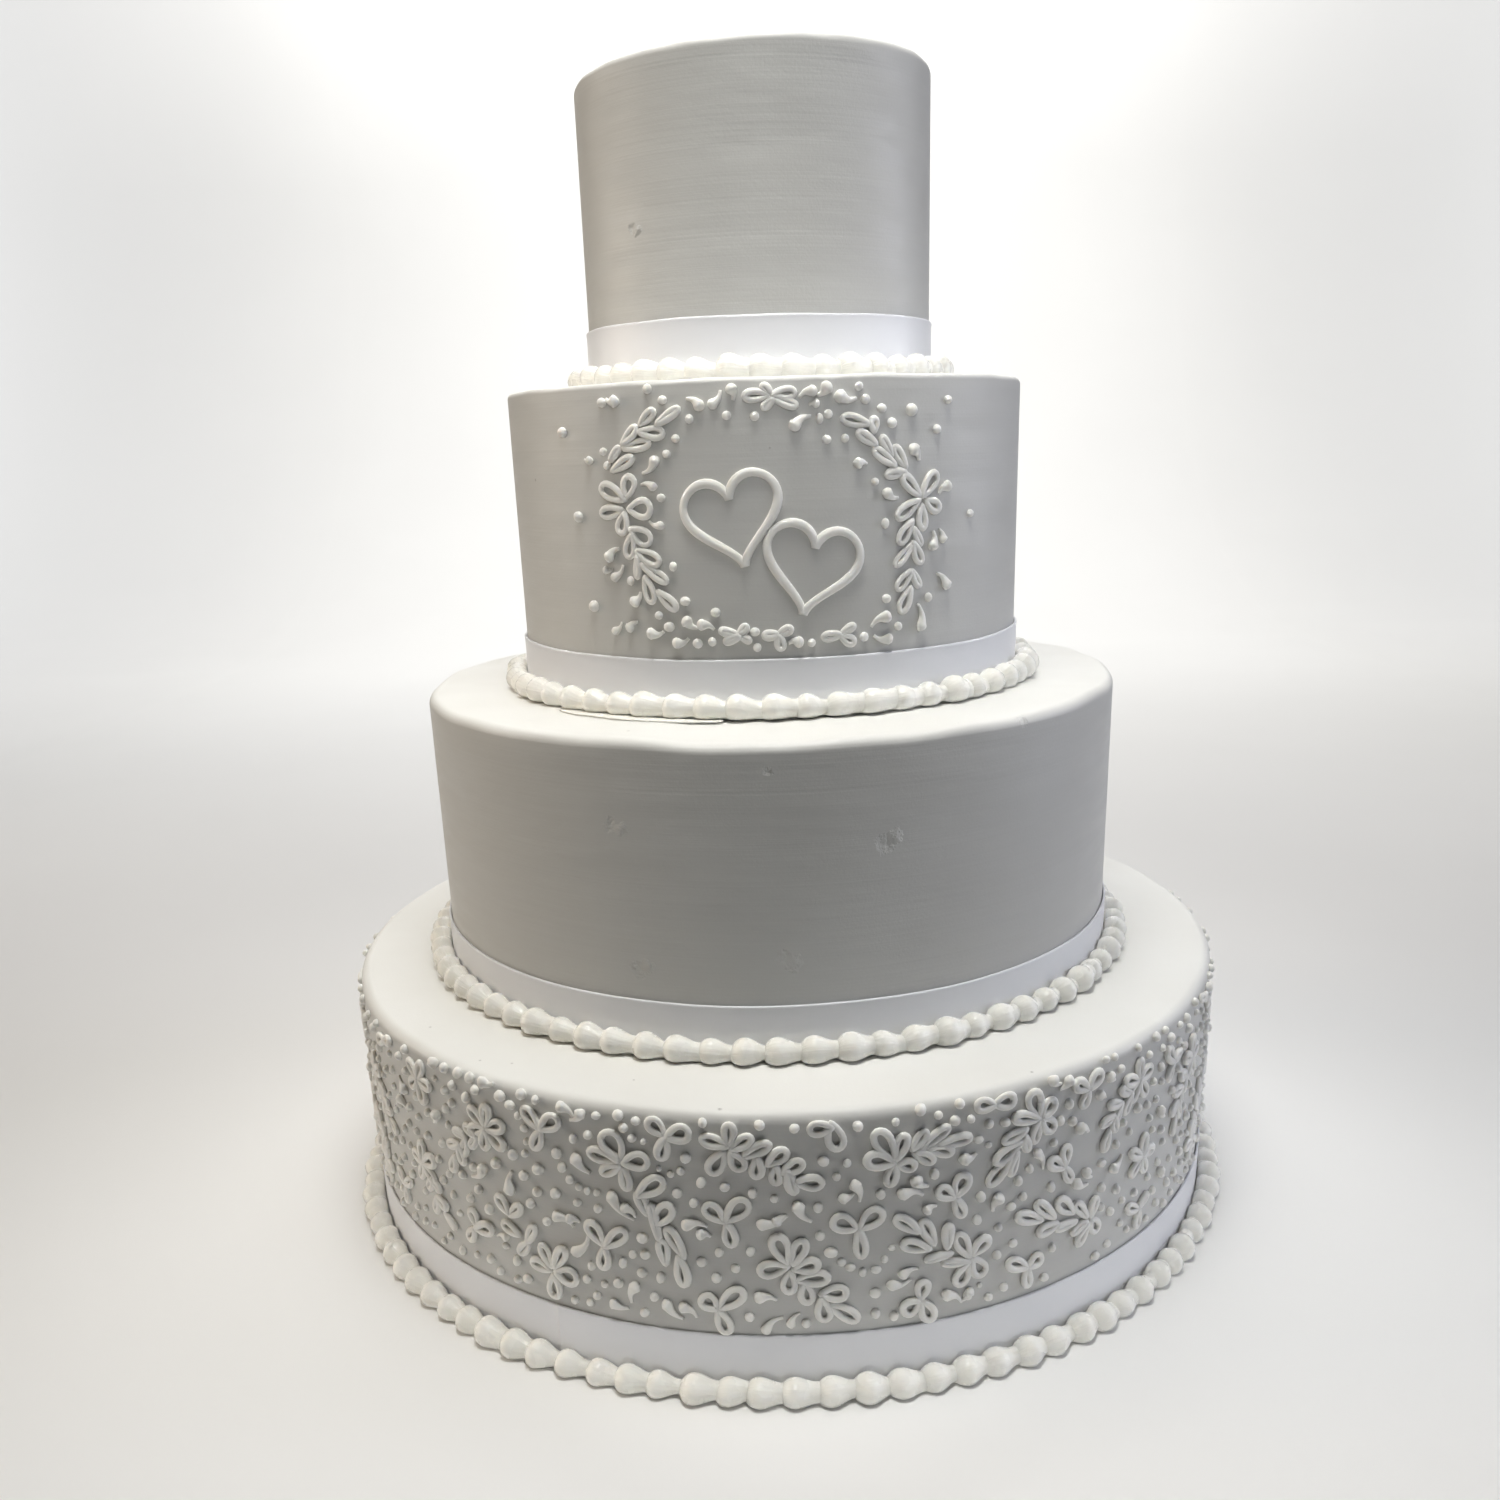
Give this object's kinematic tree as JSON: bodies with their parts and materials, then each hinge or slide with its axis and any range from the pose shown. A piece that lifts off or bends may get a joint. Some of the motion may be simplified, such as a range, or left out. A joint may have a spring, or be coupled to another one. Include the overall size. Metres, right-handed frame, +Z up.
{
  "type": "wedding cake",
  "caption": "Round tiered wedding cake in white icing, with a satin ribbon and a piped pearl border at the foot of each tier, lace piping on the base tier and a piped wreath with hearts.",
  "frame": {"origin": "middle of the base tier's flat foot, which is the middle of the whole cake's footprint", "axes": "+Z up through the tiers, -Y towards the decorated front with the wreath, +X to the viewer's right when facing the front"},
  "size_m": [0.4618, 0.4618, 0.5226],
  "materials": {
    "icing": "smooth white sugar icing with a soft satin sheen",
    "satin": "cool white satin ribbon",
    "pearl_icing": "ivory piped icing with a soft gloss"
  },
  "bodies": {
    "root": {"tier_1": "icing", "ribbon_1": "satin", "border_1": "pearl_icing", "tier_2": "icing", "ribbon_2": "satin", "border_2": "pearl_icing", "tier_3": "icing", "ribbon_3": "satin", "border_3": "pearl_icing", "tier_4": "icing", "ribbon_4": "satin", "border_4": "pearl_icing"}
  },
  "joints": []
}
